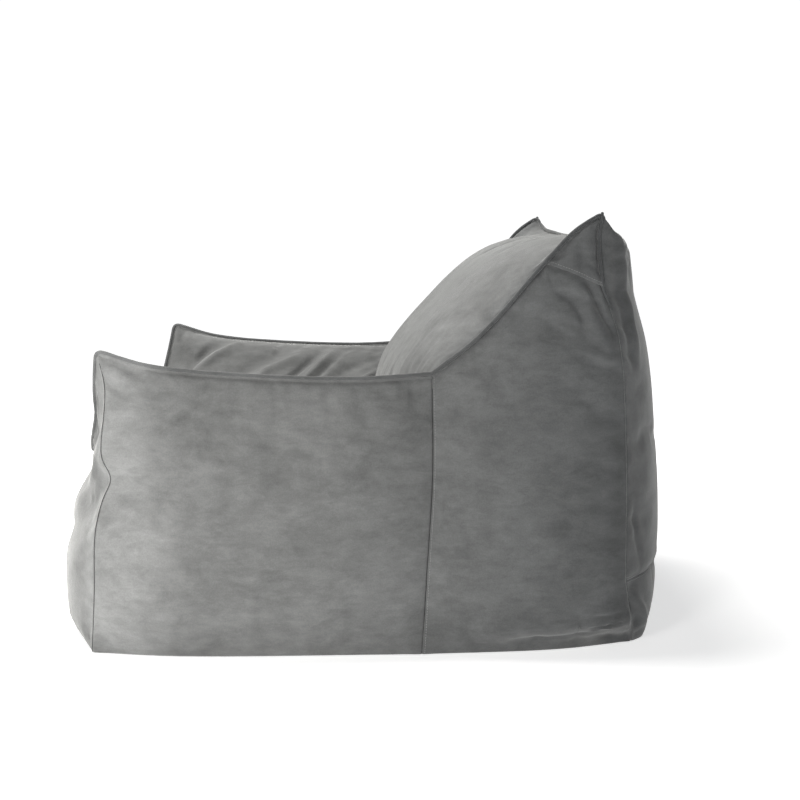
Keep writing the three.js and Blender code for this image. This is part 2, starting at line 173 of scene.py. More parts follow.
# named points and curves of the left side, in millimetres
X, Y, Z = (v / MM for v in (SEAM_X, FRONT_Y, SEAT_Z))
front_ear, back_ear = (EAR_X / MM, Y, EAR_Z / MM), (EAR_X / MM, EAR_Y / MM, BACK_Z / MM)
kink, yoke_front, yoke_rear = (X, 117, 497), (X - 6, 316, 693), (X - 5, 414, 657)
rear, zip_z, foot = REAR_Y / MM, ZIP_Z / MM, FOOT_Z / MM
zip_end = (X - 2, rear + 2, zip_z)
front_foot, side_foot, rear_foot = (398, -486, foot), (X, 100, foot), (350, 486, foot)
crease_front = (CREASE_X / MM, -511, Z - 8)
crease_back = (CREASE_X / MM, FOLD_Y / MM + 20, Z + 22)
fold = FOLD_Y / MM

arm_top = seam(front_ear, (X, -376, 512), (X + 6, -153, 493), (X + 4, 0, 490), kink)
slope_low = seam(kink, (X - 1, 202, 565), yoke_front)
slope_high = seam(yoke_front, (X - 8, 366, 745), back_ear)
yoke_hem = seam(yoke_front, (X + 2, 366, 677), yoke_rear)
front_corner = seam(front_ear, (X, -454, 478), (X + 6, -461, 360), (X + 4, -457, 302), (X + 8, -472, 220),
                    (X + 6, -475, 120), front_foot)
rear_corner_high = seam(back_ear, (X - 9, 409, 732), yoke_rear)
rear_corner = seam(yoke_rear, (X - 2, 447, 557), (X + 4, rear, 360), zip_end)
rear_corner_foot = seam(zip_end, (X - 34, rear + 18, 52), rear_foot)
side_seam = seam(kink, (X + 18, 118, 330), (X + 20, 108, 150), side_foot)
foot_front_side = seam(front_foot, (X + 2, -330, foot), side_foot)
foot_rear_side = seam(side_foot, (400, 340, foot), rear_foot)
arm_front = seam(front_ear, (384, -479, 447), (338, -491, 392), crease_front)
crease = seam(crease_front, (CREASE_X / MM, -300, Z + 6), (CREASE_X / MM, -100, Z + 4), crease_back)
arm_back = seam(kink, (352, 78, 430), crease_back)
seat_front = across(seam(crease_front, (140, -532, 330), (0, -546, 326)))
seat_back = across(seam(crease_back, (140, fold + 4, Z + 4), (0, fold, Z)))
back_top = across(seam(back_ear, (392, 424, 757), (300, 440, 744), (0, 446, 742)))
zip_line = across(seam(zip_end, (350, 509, zip_z), (298, 531, zip_z), (240, ZIP_Y / MM - 1, zip_z),
                       (175, ZIP_Y / MM, zip_z), (0, ZIP_Y / MM, zip_z)))
foot_front = across(seam(front_foot, (250, -530, foot), (0, -FRONT_REACH / MM, foot)))
foot_back = across(seam(rear_foot, (318, 512, foot), (240, 528, foot), (0, 537, foot)))

above_zip = CELLS["height"] - CELLS["below_zip"]
slope = joined((slope_low, CELLS["slope"]), (slope_high, CELLS["high"]))
rear_edge = joined((rear_corner, above_zip), (rear_corner_foot, CELLS["below_zip"]))
rear_upper = joined((rear_corner_high, CELLS["high"]), (rear_corner, above_zip))


def u_shaped(half, middle):
    """An edge that comes down one side, runs across the middle and goes up the other side."""
    up = backward(mirrored(half))
    return joined((half, CELLS["arm_front"]), (middle, CELLS["seat"]), (up, CELLS["arm_front"]))


front_top = u_shaped(arm_front, seat_front)
backrest_foot = u_shaped(arm_back, seat_back)


# ---- panels ----

def patch(bottom, top, left, right):
    """A Coons patch, as a function of the shares across and up it."""
    ends = np.array([0.0, 1.0])

    def at(s, t):
        s, t = np.asarray(s, float), np.asarray(t, float)
        b, o = bottom(s)[None], top(s)[None]
        f, r = left(t)[:, None], right(t)[:, None]
        (b0, b1), (o0, o1) = bottom(ends), top(ends)
        u, v = s[None, :, None], t[:, None, None]
        corners = (b0 * (1 - u) + b1 * u) * (1 - v) + (o0 * (1 - u) + o1 * u) * v
        return b * (1 - v) + o * v + f * (1 - u) + r * u - corners

    return at


def crowned(surface, push, peak=0.5, sharpness=2.4):
    """A surface pushed out in the middle, by millimetres, and most at the share peak of its height."""
    skew = math.log(0.5) / math.log(peak)
    push = np.array(push) * MM

    def at(s, t):
        wide, high = (1 - np.abs(2 * v - 1) ** sharpness for v in (np.asarray(s), np.asarray(t) ** skew))
        return surface(s, t) + (high[:, None] * wide[None])[..., None] * push

    return at


class Panel:
    """A surface between four edges, with its cells counted between the seams that meet it.

    edges says how its bottom, top, left and right are sewn. A slope is piped, and lapped by the yoke's hem.
    A rear edge is plain up to the yoke and piped beside it.
    """

    def __init__(self, surface, columns, rows, edges, facing):
        self.surface, self.facing, self.edges = surface, facing, edges
        self.size = (sum(columns), sum(rows))
        self.breaks = [[0, *(np.cumsum(c) / sum(c))] for c in (columns, rows)]

    def turned_over(self):
        """The same panel on the other side."""
        other = copy.copy(self)
        other.surface, other.facing = mirrored(self.surface), -self.facing
        return other


def shared_ear(share):
    """The yoke's top edge, which is no more than the pointed corner."""
    return np.tile(back_top(np.array([0.0]))[0], (len(share), 1))


def panels_of_one_side():
    arm = patch(foot_front_side, arm_top, backward(front_corner), backward(side_seam))
    top = joined((slope_low, CELLS["slope"]), (yoke_hem, CELLS["yoke"]))
    side = patch(foot_rear_side, top, backward(side_seam), backward(rear_edge))
    yoke = patch(yoke_hem, shared_ear, slope_high, backward(rear_corner_high))
    inner = patch(arm_top, crease, arm_front, arm_back)
    return {
        "arm_side_panel": Panel(crowned(arm, (18, 0, 0), 0.42), [CELLS["arm"]], [CELLS["height"]],
                                ["foot", "piped", "plain", "plain"], 1),
        "rear_side_panel": Panel(crowned(side, (14, 0, 0), 0.42), [CELLS["slope"], CELLS["yoke"]],
                                 [CELLS["below_zip"], above_zip], ["foot", "slope", "plain", "plain"], 1),
        "corner_yoke": Panel(crowned(yoke, (5, 0, 0), 0.4), [CELLS["yoke"]], [CELLS["high"]],
                             ["hemmed", "ear", "piped", "piped"], 1),
        "inner_arm_panel": Panel(crowned(inner, (-46, 0, 34), 0.46), [CELLS["arm"]], [CELLS["arm_front"]],
                                 ["piped", "fold", "piped", "fold"], 1),
    }


def panels_in_the_middle():
    corner = backward(front_corner)
    front = patch(foot_front, front_top, corner, mirrored(corner))
    seat = patch(seat_front, seat_back, crease, mirrored(crease))
    rest = patch(backrest_foot, back_top, slope, mirrored(slope))
    back = patch(zip_line, back_top, backward(rear_upper), mirrored(backward(rear_upper)))
    low = patch(foot_back, zip_line, backward(rear_corner_foot), mirrored(backward(rear_corner_foot)))
    wide = [CELLS["arm_front"], CELLS["seat"], CELLS["arm_front"]]
    return {
        "front_panel": Panel(crowned(front, (0, -46, 0), 0.36), wide, [CELLS["height"]],
                             ["foot", "piped", "plain", "plain"], -1),
        "seat_panel": Panel(crowned(seat, (0, 0, 34)), [CELLS["seat"]], [CELLS["arm"]],
                            ["piped", "fold", "fold", "fold"], -1),
        "backrest_panel": Panel(crowned(rest, (0, -80, 86), 0.42, 2.8), wide, [CELLS["slope"], CELLS["high"]],
                                ["fold", "piped", "piped", "piped"], -1),
        "back_panel": Panel(crowned(back, (0, 18, 0), 0.36), wide, [above_zip, CELLS["high"]],
                            ["zip", "piped", "rear", "rear"], 1),
        "back_lower_panel": Panel(crowned(low, (0, 8, 0), 0.6), wide, [CELLS["below_zip"]],
                                  ["foot", "zip", "plain", "plain"], 1),
    }


panels = panels_in_the_middle()
for name, panel in panels_of_one_side().items():
    panels[name + "_left"] = panel
    panels[name + "_right"] = panel.turned_over()


# ---- the cloth simulation ----

def mesh_object(name, points, faces, smooth=True):
    mesh = bpy.data.meshes.new(name)
    mesh.from_pydata([tuple(p) for p in points], [], [tuple(int(i) for i in f) for f in faces])
    mesh.validate()
    if smooth:
        mesh.shade_smooth()
    obj = bpy.data.objects.new(name, mesh)
    bpy.context.scene.collection.objects.link(obj)
    return obj


def grid_faces(rows, columns, facing=1):
    index = np.arange(rows * columns).reshape(rows, columns)
    quads = np.stack([index[:-1, :-1], index[:-1, 1:], index[1:, 1:], index[1:, :-1]], -1).reshape(-1, 4)
    return quads if facing > 0 else quads[:, ::-1]


def sim_shares(cells):
    return np.linspace(0, 1, int(round(cells * CELL / SIM_PITCH)) + 1)


def sewn_cover(grids):
    """The panels as one mesh: points, faces, each panel's grid of point numbers, and the sewn points."""
    places, welded, where, faces, pinned = {}, [], {}, [], set()
    for name, grid in grids.items():
        rows, columns = grid.shape[:2]
        ids = np.zeros((rows, columns), int)
        for j, i in np.ndindex(rows, columns):
            key = tuple(np.round(grid[j, i] / WELD).astype(int))
            if key not in places:
                places[key] = len(welded)
                welded.append(grid[j, i])
            ids[j, i] = places[key]
            if i in (0, columns - 1) or j in (0, rows - 1):
                pinned.add(places[key])
        where[name] = ids
        for quad in grid_faces(rows, columns, panels[name].facing):
            face = list(dict.fromkeys(ids.reshape(-1)[quad].tolist()))
            if len(face) > 2:
                faces.append(face)
    return np.array(welded), faces, where, sorted(pinned)


def simulate():
    """How far the panels' points move when the sewn cover is blown up, its cloth slightly too long."""
    shares = {name: tuple(sim_shares(c) for c in panel.size) for name, panel in panels.items()}
    grids = {name: panel.surface(*shares[name]) for name, panel in panels.items()}
    start, faces, where, pinned = sewn_cover(grids)
    cover = mesh_object("sim_cover", start, faces)
    group = cover.vertex_groups.new(name="sewn")
    group.add(pinned, 1.0, "REPLACE")
    cloth = cover.modifiers.new("cloth", "CLOTH")
    velvet = cloth.settings
    velvet.quality, velvet.mass, velvet.air_damping = 6, 0.4, 2.0
    velvet.tension_stiffness = velvet.compression_stiffness = 25
    velvet.shear_stiffness, velvet.bending_stiffness = 12, 2.5
    velvet.use_pressure, velvet.uniform_pressure_force = True, 3.0
    velvet.shrink_min = -0.008
    velvet.vertex_group_mass = "sewn"
    velvet.effector_weights.gravity = 0
    cloth.collision_settings.use_collision = False
    cloth.point_cache.frame_start, cloth.point_cache.frame_end = 1, SIM_STEPS
    for step in range(1, SIM_STEPS + 1):
        bpy.context.scene.frame_set(step)
    done = cover.evaluated_get(bpy.context.evaluated_depsgraph_get()).to_mesh()
    end = np.zeros(len(start) * 3)
    done.vertices.foreach_get("co", end)
    bpy.data.objects.remove(cover)
    bpy.context.scene.frame_set(1)
    move = end.reshape(-1, 3) - start
    far = np.linalg.norm(move, axis=1, keepdims=True)
    move *= np.tanh(far / CAP) * CAP / np.maximum(far, 1e-9)
    print(f"cloth moved {far.max() / MM:.1f} mm at most, {far.mean() / MM:.1f} mm on average")
    return shares, {name: move[where[name]] for name in panels}


def resampled(values, old, new):
    """Cubic interpolation of a grid's values along its first axis, from even shares to other shares."""
    at = np.asarray(new) * (len(old) - 1)
    k = np.clip(at.astype(int), 0, len(old) - 2)
    f = (at - k).reshape(-1, *[1] * (values.ndim - 1))
    p0, p1, p2, p3 = (values[np.clip(k + d, 0, len(old) - 1)] for d in (-1, 0, 1, 2))
    return p1 + 0.5 * f * (p2 - p0 + f * (2 * p0 - 5 * p1 + 4 * p2 - p3 + f * (3 * (p1 - p2) + p3 - p0)))


sim, moves = simulate()


# ---- the finished panels ----

NEAR_SEAM = [1.5 * MM, 3 * MM, 5 * MM, 8 * MM]


def fine_shares(breaks, cells):
    """Even shares, with closer ones beside each seam that the panel meets."""
    length = cells * CELL
    out = set()
    for a, b in zip(breaks[:-1], breaks[1:]):
        inner = a + NEAR_SEAM[-1] / length, b - NEAR_SEAM[-1] / length
        steps = max(2, int(round((inner[1] - inner[0]) * length / FINE_PITCH)))
        out.update(np.round(np.linspace(*inner, steps + 1), 7))
        out.update(round(a + d / length, 7) for d in NEAR_SEAM)
        out.update(round(b - d / length, 7) for d in NEAR_SEAM)
        out.update([round(a, 7), round(b, 7)])
    return np.array(sorted(out))


def noise(points, scale, seed=0):
    """Smooth value noise from -1 to 1."""
    q = points / scale + 1000.0
    cell = np.floor(q).astype(np.int64)
    f = q - cell
    f = f * f * (3 - 2 * f)
    table = np.random.default_rng(seed).uniform(-1, 1, 4096)
    total = 0
    for corner in range(8):
        step = np.array([(corner >> a) & 1 for a in range(3)])
        c = cell + step
        value = table[(c[..., 0] * 73856093 ^ c[..., 1] * 19349663 ^ c[..., 2] * 83492791) % len(table)]
        total = total + value * np.prod(np.where(step, f, 1 - f), axis=-1)
    return total


def normals_of(grid, facing):
    normal = np.cross(np.gradient(grid, axis=1), np.gradient(grid, axis=0)) * facing
    return normal / np.maximum(np.linalg.norm(normal, axis=-1, keepdims=True), 1e-12)


def run_lengths(grid, axis):
    """How far each point is along the cloth from its row's or column's first point."""
    steps = np.linalg.norm(np.diff(grid, axis=axis), axis=-1)
    return np.concatenate([np.zeros_like(steps.take([0], axis)), np.cumsum(steps, axis)], axis)


def edge_places(grid):
    """For the [bottom, top, left, right] edges, how far each point is from the edge, and along it."""
    along_s, along_t = run_lengths(grid, 1), run_lengths(grid, 0)
    return [
        (along_t, along_s[:1] + 0 * along_t), (along_t[-1:] - along_t, along_s[-1:] + 0 * along_t),
        (along_s, along_t[:, :1] + 0 * along_s), (along_s[:, -1:] - along_s, along_t[:, -1:] + 0 * along_s),
    ]


# depth and width of the tuck at each kind of seam, and how far from the seam it is deepest
TUCKS = {"plain": (1.4, 2.2, 0), "piped": (2.6, 2.6, 4.2), "fold": (3.5, 9, 0), "hemmed": (0, 2, 0),
         "foot": (1.0, 5, 0), "ear": (0, 1, 0), "lapped": (3.0, 14, 0), "zip": (0, 2, 0)}
# height, reach and spacing of the gathers across each kind of seam, and of some panels' own
GATHERS = {"plain": (0.5, 12, 9), "piped": (0.7, 16, 12), "fold": (2.4, 38, 15), "hemmed": (0.0, 12, 9),
           "foot": (2.2, 30, 34), "ear": (0.0, 1, 9), "lapped": (0.9, 18, 13), "zip": (0.3, 12, 16)}
OWN_GATHERS = {("arm_side_panel_left", "piped"): (0.25, 16, 12),
               ("arm_side_panel_right", "piped"): (0.25, 16, 12), ("backrest_panel", "fold"): (2.6, 55, 13)}

# Folds that the cloth has taken in each kind of panel, each as its line, its width and its height in
# millimetres. Lines in the sides and inside the arms give y and z, those in the front and the back x and z.
FOLDS = {
    "arm_side_panel": [
        # the front pointed corners: a ridge away from each, between two hollows
        ([(-452, 524), (-436, 532)], 5, -3.5),
        ([(-444, 516), (-411, 495), (-358, 459)], 11, 5.0),
        ([(-432, 520), (-398, 512), (-350, 494)], 11, -3.5),
        ([(-440, 496), (-420, 476), (-398, 455)], 9, -3.5),
        ([(-452, 512), (-445, 494)], 4, -1.6),
        # gathers under the piping, near where the arms meet the back
        ([(81, 486), (78, 452)], 5, -2.0),
        ([(100, 487), (96, 440)], 6, -2.2),
        ([(115, 487), (114, 462)], 4, -1.4),
        ([(30, 488), (22, 462)], 8, -1.2),
    ],
    "rear_side_panel": [
        # below the yokes: a crease beside the rear corner, and a ring of folds round a soft hollow
        ([(404, 662), (414, 639), (423, 617), (436, 597), (449, 580), (453, 560)], 6, -6.0),
        ([(427, 644), (437, 603)], 5, 3.0),
        ([(398, 640), (410, 606), (427, 570), (441, 546)], 12, 4.5),
        ([(350, 641), (372, 628), (388, 608), (396, 590), (394, 566)], 8, -4.5),
        ([(333, 587), (352, 568), (376, 553), (402, 545)], 7, -3.5),
        ([(366, 550), (396, 538), (424, 530), (452, 516)], 6, 4.0),
        ([(350, 604), (366, 590)], 12, 2.0),
        ([(318, 690), (325, 668)], 5, -2.5),
        ([(338, 678), (338, 662)], 5, -1.8),
        # the rear foot corners, where the cloth buckles above its turned-under edge
        ([(396, 80), (428, 82), (466, 80)], 6, 3.5),
        ([(402, 68), (432, 69), (462, 69)], 4, -4.0),
        ([(408, 56), (436, 59), (464, 63)], 3.5, 3.5),
        ([(408, 48), (436, 51), (466, 55)], 4.5, -6.0),
        ([(414, 41), (440, 45), (466, 49)], 3.5, 3.0),
        ([(270, 26), (352, 31), (400, 33), (430, 39), (462, 47)], 5, -3.5),
        ([(415, 168), (462, 160)], 4, -1.4),
        ([(425, 140), (464, 136)], 5, -1.4),
    ],
    "corner_yoke": [
        # soft upright folds in the yokes
        ([(389, 725), (396, 682)], 8, -3.0),
        ([(405, 728), (409, 690)], 7, 2.0),
        ([(356, 712), (350, 696)], 6, -1.5),
    ],
    "back_panel": [
        ([(404, 262), (398, 205), (380, 150)], 8, -3.0),
        ([(404, 640), (398, 560), (392, 500)], 12, -4.0),
        ([(376, 690), (372, 600), (376, 520)], 14, 5.0),
        ([(330, 720), (318, 660)], 14, -3.0),
    ],
    "back_lower_panel": [
        ([(400, 100), (362, 60), (330, 20)], 9, 5.0),
        ([(392, 62), (360, 30)], 7, -4.0),
    ],
    "inner_arm_panel": [
        # slanting wrinkles down the inside of the arms
        ([(-428, 500), (-404, 462), (-402, 430)], 9, -4.0),
        ([(-402, 440), (-372, 470), (-330, 494)], 9, -6.0),
        ([(-376, 436), (-340, 466), (-280, 492)], 8, 5.0),
        ([(-300, 420), (-236, 452), (-150, 486)], 12, -6.0),
        ([(-262, 410), (-205, 440), (-120, 474)], 8, 4.0),
        ([(-178, 408), (-130, 444), (-86, 478)], 7, -6.5),
        ([(-150, 400), (-106, 438), (-64, 474)], 5, 4.5),
        ([(-128, 400), (-90, 432), (-46, 466)], 5, -4.5),
        ([(-84, 404), (-30, 440), (52, 470)], 13, -5.5),
        ([(-30, 400), (30, 428), (70, 446)], 7, 4.5),
    ],
    "front_panel": [
        ([(372, 400), (340, 366), (300, 330)], 12, -4.0),
        ([(392, 346), (366, 318), (330, 300)], 9, 3.0),
    ],
}


def line_share(points, line):
    """Each point's distance from a line through several points, and the share of the line's length there."""
    line = np.array(line, float) * MM
    along = path_lengths(line)
    best, share = np.full(points.shape[:-1], np.inf), np.zeros(points.shape[:-1])
    for a, b, start, end in zip(line[:-1], line[1:], along[:-1], along[1:]):
        t = np.clip(((points - a) @ (b - a)) / (end - start) ** 2, 0, 1)
        away = np.linalg.norm(points - a - t[..., None] * (b - a), axis=-1)
        nearer = away < best
        best = np.where(nearer, away, best)
        share = np.where(nearer, (start + t * (end - start)) / along[-1], share)
    return best, share


def fold_heights(name, grid):
    """The folds of a panel. The front's and the back's are on both halves, and the right's are shallower."""
    height = np.zeros(grid.shape[:2])
    kind, _, side = name.rpartition("_")
    kind, turns, axes = (kind, [side], (1, 2)) if side in SIDES else (name, list(SIDES), (0, 2))
    for line, width, tall in FOLDS.get(kind, []):
        for turn in turns:
            place = grid * SIDES[turn]
            wander = 5 * MM * noise(place + 0.7 * (side == "right"), 45 * MM, 11)
            away, share = line_share(place[..., axes] + wander[..., None], line)
            fade = np.sin(math.pi * np.clip(share * 0.84 + 0.08, 0, 1)) ** 0.7
            size = (0.8 if turn == "right" else 1.0) * (1.9 if kind == "inner_arm_panel" else 1.35)
            height += size * tall * MM * fade * bell(away, width * MM)
    return height


# the left side's pointed corners: each tip, the direction into the cloth, and how far the tip is rounded
EARS = [(np.array(tip) * MM + [0, SHIFT_Y, 0], np.array(into) / np.linalg.norm(into), pull)
        for tip, into, pull in ((front_ear, (-0.05, 0.62, -0.78), 2.5 * MM),
                                (back_ear, (-0.35, -0.2, -0.9), 3.5 * MM))]
KNOT = np.array(front_foot) * MM + [0, SHIFT_Y, 12 * MM]      # the bunched end of the left front corner seam


def ear_share(points):
    """1 at the cover's pointed corners, falling to 0 a hand's width away."""
    aside = np.array(points)
    aside[..., 0] = np.abs(aside[..., 0])
    return np.max([near_to(aside, ear, 55 * MM) for ear, _, _ in EARS], axis=0)


def ear_pull(points):
    """Rounds the cover's pointed corners a little."""
    out = np.array(points)
    for ear, into, pull in EARS:
        for flip in SIDES.values():
            out += near_to(points, ear * flip, 9 * MM)[..., None] * into * flip * pull
    return out


# where the front draws in: how far, at what height, over what reach, and whether at its corners alone
DIPS = [(11 * MM, 305 * MM, 44 * MM, False), (14 * MM, 318 * MM, 26 * MM, True),
        (6 * MM, 425 * MM, 50 * MM, False)]
# where the right side's pointed corners lean, since the bag is soft, and how far that reaches
LEANS = [((-EAR_X, FRONT_Y + SHIFT_Y, EAR_Z), (0, 26 * MM, 1 * MM), 150 * MM),
         ((-EAR_X, EAR_Y + SHIFT_Y, BACK_Z), (0, -14 * MM, 8 * MM), 130 * MM)]


def leaning(points):
    """Moves points to where the soft bag leans and its front draws in."""
    out = np.array(points)
    x, y, z = np.abs(points[..., 0]), points[..., 1], points[..., 2]
    forward = np.clip((-370 * MM - y) / (80 * MM), 0, 1)
    corner = np.clip((x - 370 * MM) / (40 * MM), 0, 1)
    for depth, height, reach, at_corners in DIPS:
        out[..., 1] += depth * forward * (corner if at_corners else 1 - corner) * bell(z - height, reach)
    for ear, lean, reach in LEANS:
        out += near_to(points, ear, reach)[..., None] * lean
    return out


def swollen(name, panel):
    """A panel as the simulation left it: its shares across and up, its points and their directions out."""
    s, t = (fine_shares(b, c) for b, c in zip(panel.breaks, panel.size))
    if name.startswith("corner_yoke"):
        t = t[t < 0.94]
    old_s, old_t = sim[name]
    move = resampled(moves[name], old_t, t)
    move = np.swapaxes(resampled(np.swapaxes(move, 0, 1), old_s, s), 0, 1)
    grid = panel.surface(s, t) + move
    normal = normals_of(grid, panel.facing)
    if name == "back_panel":       # its top swells out behind the piping
        _, (below, _), (left, _), (right, _) = edge_places(grid)
        puff = (1 - np.exp(-below / (14 * MM))) * bell(below, 165 * MM)
        puff *= np.clip(np.minimum(left, right) / (45 * MM), 0, 1) ** 0.6
        grid = grid + puff[..., None] * [0, 42 * MM, 6 * MM]
        normal = normals_of(grid, panel.facing)
    return s, t, grid, normal


swollen_panels = {name: swollen(name, panel) for name, panel in panels.items()}
seam_points, seam_normals = [], []
for _, _, grid, normal in swollen_panels.values():
    seam_points += [grid[0], grid[-1], grid[:, 0], grid[:, -1]]
    seam_normals += [normal[1], normal[-2], normal[:, 1], normal[:, -2]]
seam_points, seam_normals = np.vstack(seam_points), np.vstack(seam_normals)
tree = KDTree(len(seam_points))
for k, point in enumerate(seam_points):
    tree.insert(point, k)
tree.balance()


def between(points):
    """The direction out of the cover at the seam nearest to each point, halfway between its panels."""
    out = []
    for p in points:
        place, k, _ = tree.find(p)
        found = [k, *(other for _, other, _ in tree.find_range(place, 7 * MM))]
        out.append(seam_normals[found].sum(axis=0))
    return unit(np.array(out))


def seam_kinds(kind, s, t, panel):
    """What an edge is, as (kind, share) pairs, since a slope and a rear edge change at the yoke."""
    if kind == "slope":
        under = np.clip((s[None, :] * (CELLS["slope"] + CELLS["yoke"]) - CELLS["slope"]) * 8, 0, 1)
        return [("piped", 1 - under), ("lapped", under)]
    if kind == "rear":
        high = np.clip((t[:, None] * panel.size[1] - above_zip) * 8, 0, 1)
        return [("plain", 1 - high), ("piped", high)]
    return [(kind, 1.0)]


def seam_heights(name, panel, s, t, grid, places):
    """The tucks and gathers along a panel's four edges."""
    seed = sum(map(ord, name))
    height = 0
    for edge, (away, along) in zip(panel.edges, places):
        for kind, weight in seam_kinds(edge, s, t, panel):
            depth, width, deepest = TUCKS[kind]
            tall, reach, spacing = OWN_GATHERS.get((name, kind), GATHERS[kind])
            depth = depth * (1 - 0.7 * ear_share(grid))
            height = height - weight * depth * MM * bell(away - deepest * MM, width * MM)
            place = np.stack([along / (spacing * MM), away / (5 * spacing * MM), 0 * along], -1)
            ripple = noise(place, 1.0, seed) + 0.5 * noise(place * 2.1, 1.0, seed + 1)
            tallest = tall * (0.35 + 1.04 * np.abs(noise(place / 5, 1.0, seed + 2)))
            fall = away / (reach * MM)
            height = height + weight * tallest * MM * ripple * fall * np.exp(1 - fall)
    return height


def foot_swell(grid):
    """The rear side's roll of cloth above its turned-under foot."""
    rearward, z = np.clip((grid[..., 1] - 0.12) / 0.28, 0, 1), grid[..., 2]
    level = (44 + 18 * rearward) * MM
    return 13 * MM * rearward * (bell(z - level, 26 * MM) - 0.5 * bell(z - 12 * MM, 16 * MM))


def finished_grid(name, panel):
    s, t, grid, normal = swollen_panels[name]
    places = edge_places(grid)
    inside = np.minimum.reduce([away for away, _ in places])
    from_seam = {reach: np.clip(inside / (reach * MM), 0, 1) for reach in (4, 5, 12, 45)}
    height = 0.5 * noise(grid, 55 * MM, 1) + 1.4 * noise(grid, 120 * MM, 2) + 2.4 * noise(grid, 230 * MM, 7)
    height = height * MM * from_seam[45] + seam_heights(name, panel, s, t, grid, places)
    height += fold_heights(name, grid) * from_seam[4]
    if name.startswith("rear_side"):
        height += foot_swell(grid) * from_seam[12]
    for flip in SIDES.values():
        knotted = near_to(grid, KNOT * flip, 22 * MM)
        height += 3.2 * MM * knotted * noise(grid, 8 * MM, 12) * np.maximum(from_seam[5], 0.2)
    beside = inside < 16 * MM
    share = bell(inside[beside], 6 * MM)[:, None]
    normal = normal.copy()
    normal[beside] = normal[beside] * (1 - share) + between(grid[beside]) * share
    if name.startswith("corner_yoke"):       # its hem stands off the rear side and hangs over it
        away, rising = places[0][0], s[None, :]
        height += (2.0 + 4.0 * rising) * MM * bell(away, 16 * MM)
        hanging = 5.0 * MM * bell(away, 10 * MM) * (0.3 + 0.7 * rising)
        grid = grid + unit(grid[0] - grid[2]) * hanging[..., None]
    grid = leaning(ear_pull(grid + unit(normal) * height[..., None]))
    if "zip" in panel.edges:                 # the edge stands back from the zip's window
        edge = panel.edges.index("zip")
        window = np.clip((ZIP_OPENING / 2 + 2 * MM - np.abs(grid[..., 0])) / (3 * MM), 0, 1)
        lift = 8.2 * MM * window * bell(places[edge][0], 20 * MM)
        grid[..., 2] += lift if edge == 0 else -lift
    if panel.edges[0] == "foot":
        grid[..., 2] -= (FOOT_Z - 0.5 * MM) * bell(places[0][0], 9 * MM)
    grid[..., 2] = np.maximum(grid[..., 2], 0.5 * MM)
    return grid


def thick_mesh(name, grid, facing):
    """A closed piece of cloth: the grid, and the same grid sunk by its thickness, joined round the edge."""
    rows, columns = grid.shape[:2]
    under = grid - normals_of(grid, facing) * CLOTH
    under[..., 2] = np.maximum(under[..., 2], 0.3 * MM)
    count = rows * columns
    index = np.arange(count).reshape(rows, columns)
    rim = np.concatenate([index[0], index[1:, -1], index[-1, -2::-1], index[-2:0:-1, 0]])
    ahead = np.roll(rim, -1)
    wall = np.stack([rim, rim + count, ahead + count, ahead], -1)
    top = grid_faces(rows, columns)
    faces = np.vstack([top, top[:, ::-1] + count, wall])
    if facing < 0:
        faces = faces[:, ::-1]
    return mesh_object(name, np.vstack([grid.reshape(-1, 3), under.reshape(-1, 3)]), faces)


finished = {name: finished_grid(name, panel) for name, panel in panels.items()}


# ---- materials ----

class Finish:
    """A node material: its tree, and short ways to add and join nodes."""

    def __init__(self, name, **shader):
        self.material = bpy.data.materials.new(name)
        self.material.use_nodes = True
        self.tree = self.material.node_tree
        self.bsdf = self.tree.nodes["Principled BSDF"]
        self.place = self.tree.nodes.new("ShaderNodeTexCoord").outputs["Object"]
        for socket, value in shader.items():
            self.bsdf.inputs[socket.replace("_", " ")].default_value = value

    def add(self, kind, **inputs):
        node = self.tree.nodes.new("ShaderNode" + kind)
        for socket, value in inputs.items():
            target = node.inputs[socket.replace("_", " ")]
            if isinstance(value, bpy.types.NodeSocket):
                self.tree.links.new(value, target)
            else:
                target.default_value = value
        return node

    def cloud(self, scale, detail=2.0, stretch=(1, 1, 1), rough=0.5, warp=0.0):
        place = self.add("Mapping", Vector=self.place, Scale=stretch).outputs["Vector"]
        return self.add("TexNoise", Vector=place, Scale=scale, Detail=detail, Roughness=rough,
                        Distortion=warp).outputs["Fac"]

    def ramp(self, value, *stops):
        node = self.add("ValToRGB", Fac=value)
        elements = node.color_ramp.elements
        while len(elements) < len(stops):
            elements.new(0.5)
        for element, (position, color) in zip(elements, stops):
            element.position = position
            element.color = (*color, 1) if len(color) == 3 else (color[0],) * 3 + (1,)
        return node.outputs["Color"]

    def multiply(self, one, other, share=1.0):
        node = self.add("Mix")
        node.data_type, node.blend_type = "RGBA", "MULTIPLY"
        node.inputs[0].default_value = share
        for k, value in ((6, one), (7, other)):
            self.tree.links.new(value, node.inputs[k])
        return node.outputs[2]

    def bump(self, height, distance, strength=1.0, under=None):
        node = self.add("Bump", Height=height, Distance=distance, Strength=strength)
        if under is not None:
            self.tree.links.new(under, node.inputs["Normal"])
        return node.outputs["Normal"]

    def use(self, color=None, normal=None, roughness=None):
        for socket, value in (("Base Color", color), ("Normal", normal), ("Roughness", roughness)):
            if value is not None:
                self.tree.links.new(value, self.bsdf.inputs[socket])
        return self.material


